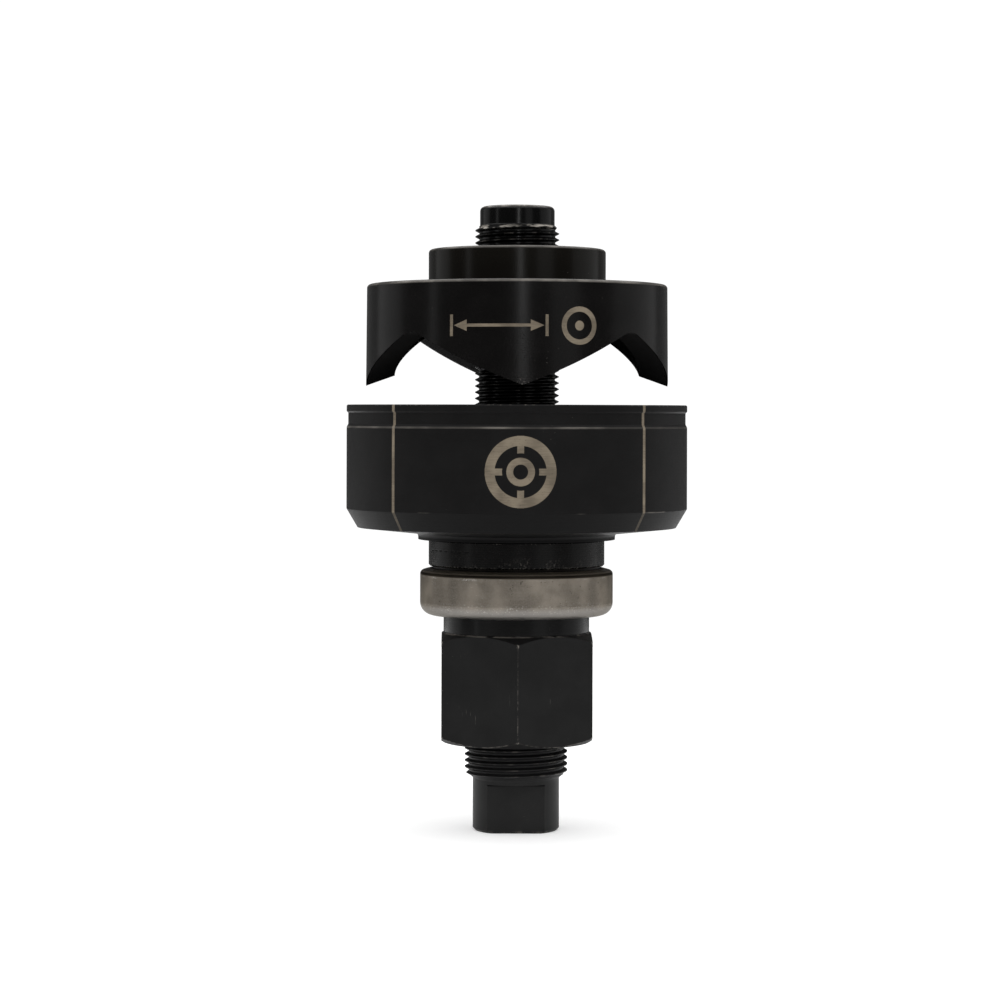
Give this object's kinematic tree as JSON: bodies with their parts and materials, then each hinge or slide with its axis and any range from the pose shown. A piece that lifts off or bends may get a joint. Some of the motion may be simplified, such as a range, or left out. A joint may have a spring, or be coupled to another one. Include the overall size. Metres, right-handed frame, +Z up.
{
  "type": "knockout punch",
  "caption": "Screw-driven knockout punch: four-point punch and cup die on a threaded draw stud, closed by a hex drive nut through a banded ball thrust bearing to cut round holes in sheet.",
  "frame": {"origin": "centre of the draw stud's foot, on the surface that it stands on", "axes": "+Z up along the stud's axis towards the punch, -Y the front, facing one corner of the hex nut, +X right"},
  "size_m": [0.1158, 0.1158, 0.2118],
  "materials": {
    "punch_steel": "semi-gloss black oxide",
    "die_steel": "satin black oxide",
    "collar_steel": "satin black oxide with worn edges",
    "nut_steel": "matt black oxide with worn corners",
    "stud_steel": "matt black oxide",
    "shell_steel": "worn satin steel",
    "race_steel": "ground steel",
    "ball_steel": "polished",
    "cage_brass": "stamped"
  },
  "bodies": {
    "stud": {"draw_stud": "stud_steel"},
    "die_stack": {"die": "die_steel", "thrust_collar": "collar_steel", "upper_race": "race_steel"},
    "nut": {"drive_nut": "nut_steel", "lower_race": "race_steel", "bearing_shell": "shell_steel"},
    "cage": {"ball_cage": "cage_brass", "bearing_ball_1": "ball_steel", "bearing_ball_2": "ball_steel", "bearing_ball_3": "ball_steel", "bearing_ball_4": "ball_steel", "bearing_ball_5": "ball_steel", "bearing_ball_6": "ball_steel", "bearing_ball_7": "ball_steel", "bearing_ball_8": "ball_steel", "bearing_ball_9": "ball_steel", "bearing_ball_10": "ball_steel", "bearing_ball_11": "ball_steel", "bearing_ball_12": "ball_steel", "bearing_ball_13": "ball_steel", "bearing_ball_14": "ball_steel"},
    "punch": {"punch": "punch_steel"}
  },
  "joints": [
    {"name": "die_draw", "type": "slide", "parent": "stud", "child": "die_stack", "axis": [0, 0, 1], "range_m": [-0.00847, 0.02963]},
    {"name": "nut_turn", "type": "hinge", "parent": "die_stack", "child": "nut", "pos_m": [0, 0, 0.05], "axis": [0, 0, 1], "range_deg": [-1441, 5041]},
    {"name": "cage_turn", "type": "hinge", "parent": "die_stack", "child": "cage", "pos_m": [0, 0, 0.0822], "axis": [0, 0, 1], "range_deg": [-721, 2521]},
    {"name": "punch_unscrew", "type": "slide", "parent": "stud", "child": "punch", "axis": [0, 0, 1], "range_m": [0, 0.045]}
  ],
  "couplings": [
    {"joint": "nut_turn", "follows": "die_draw", "rad_per_m": 2968.4},
    {"joint": "cage_turn", "follows": "die_draw", "rad_per_m": 1484.2}
  ]
}
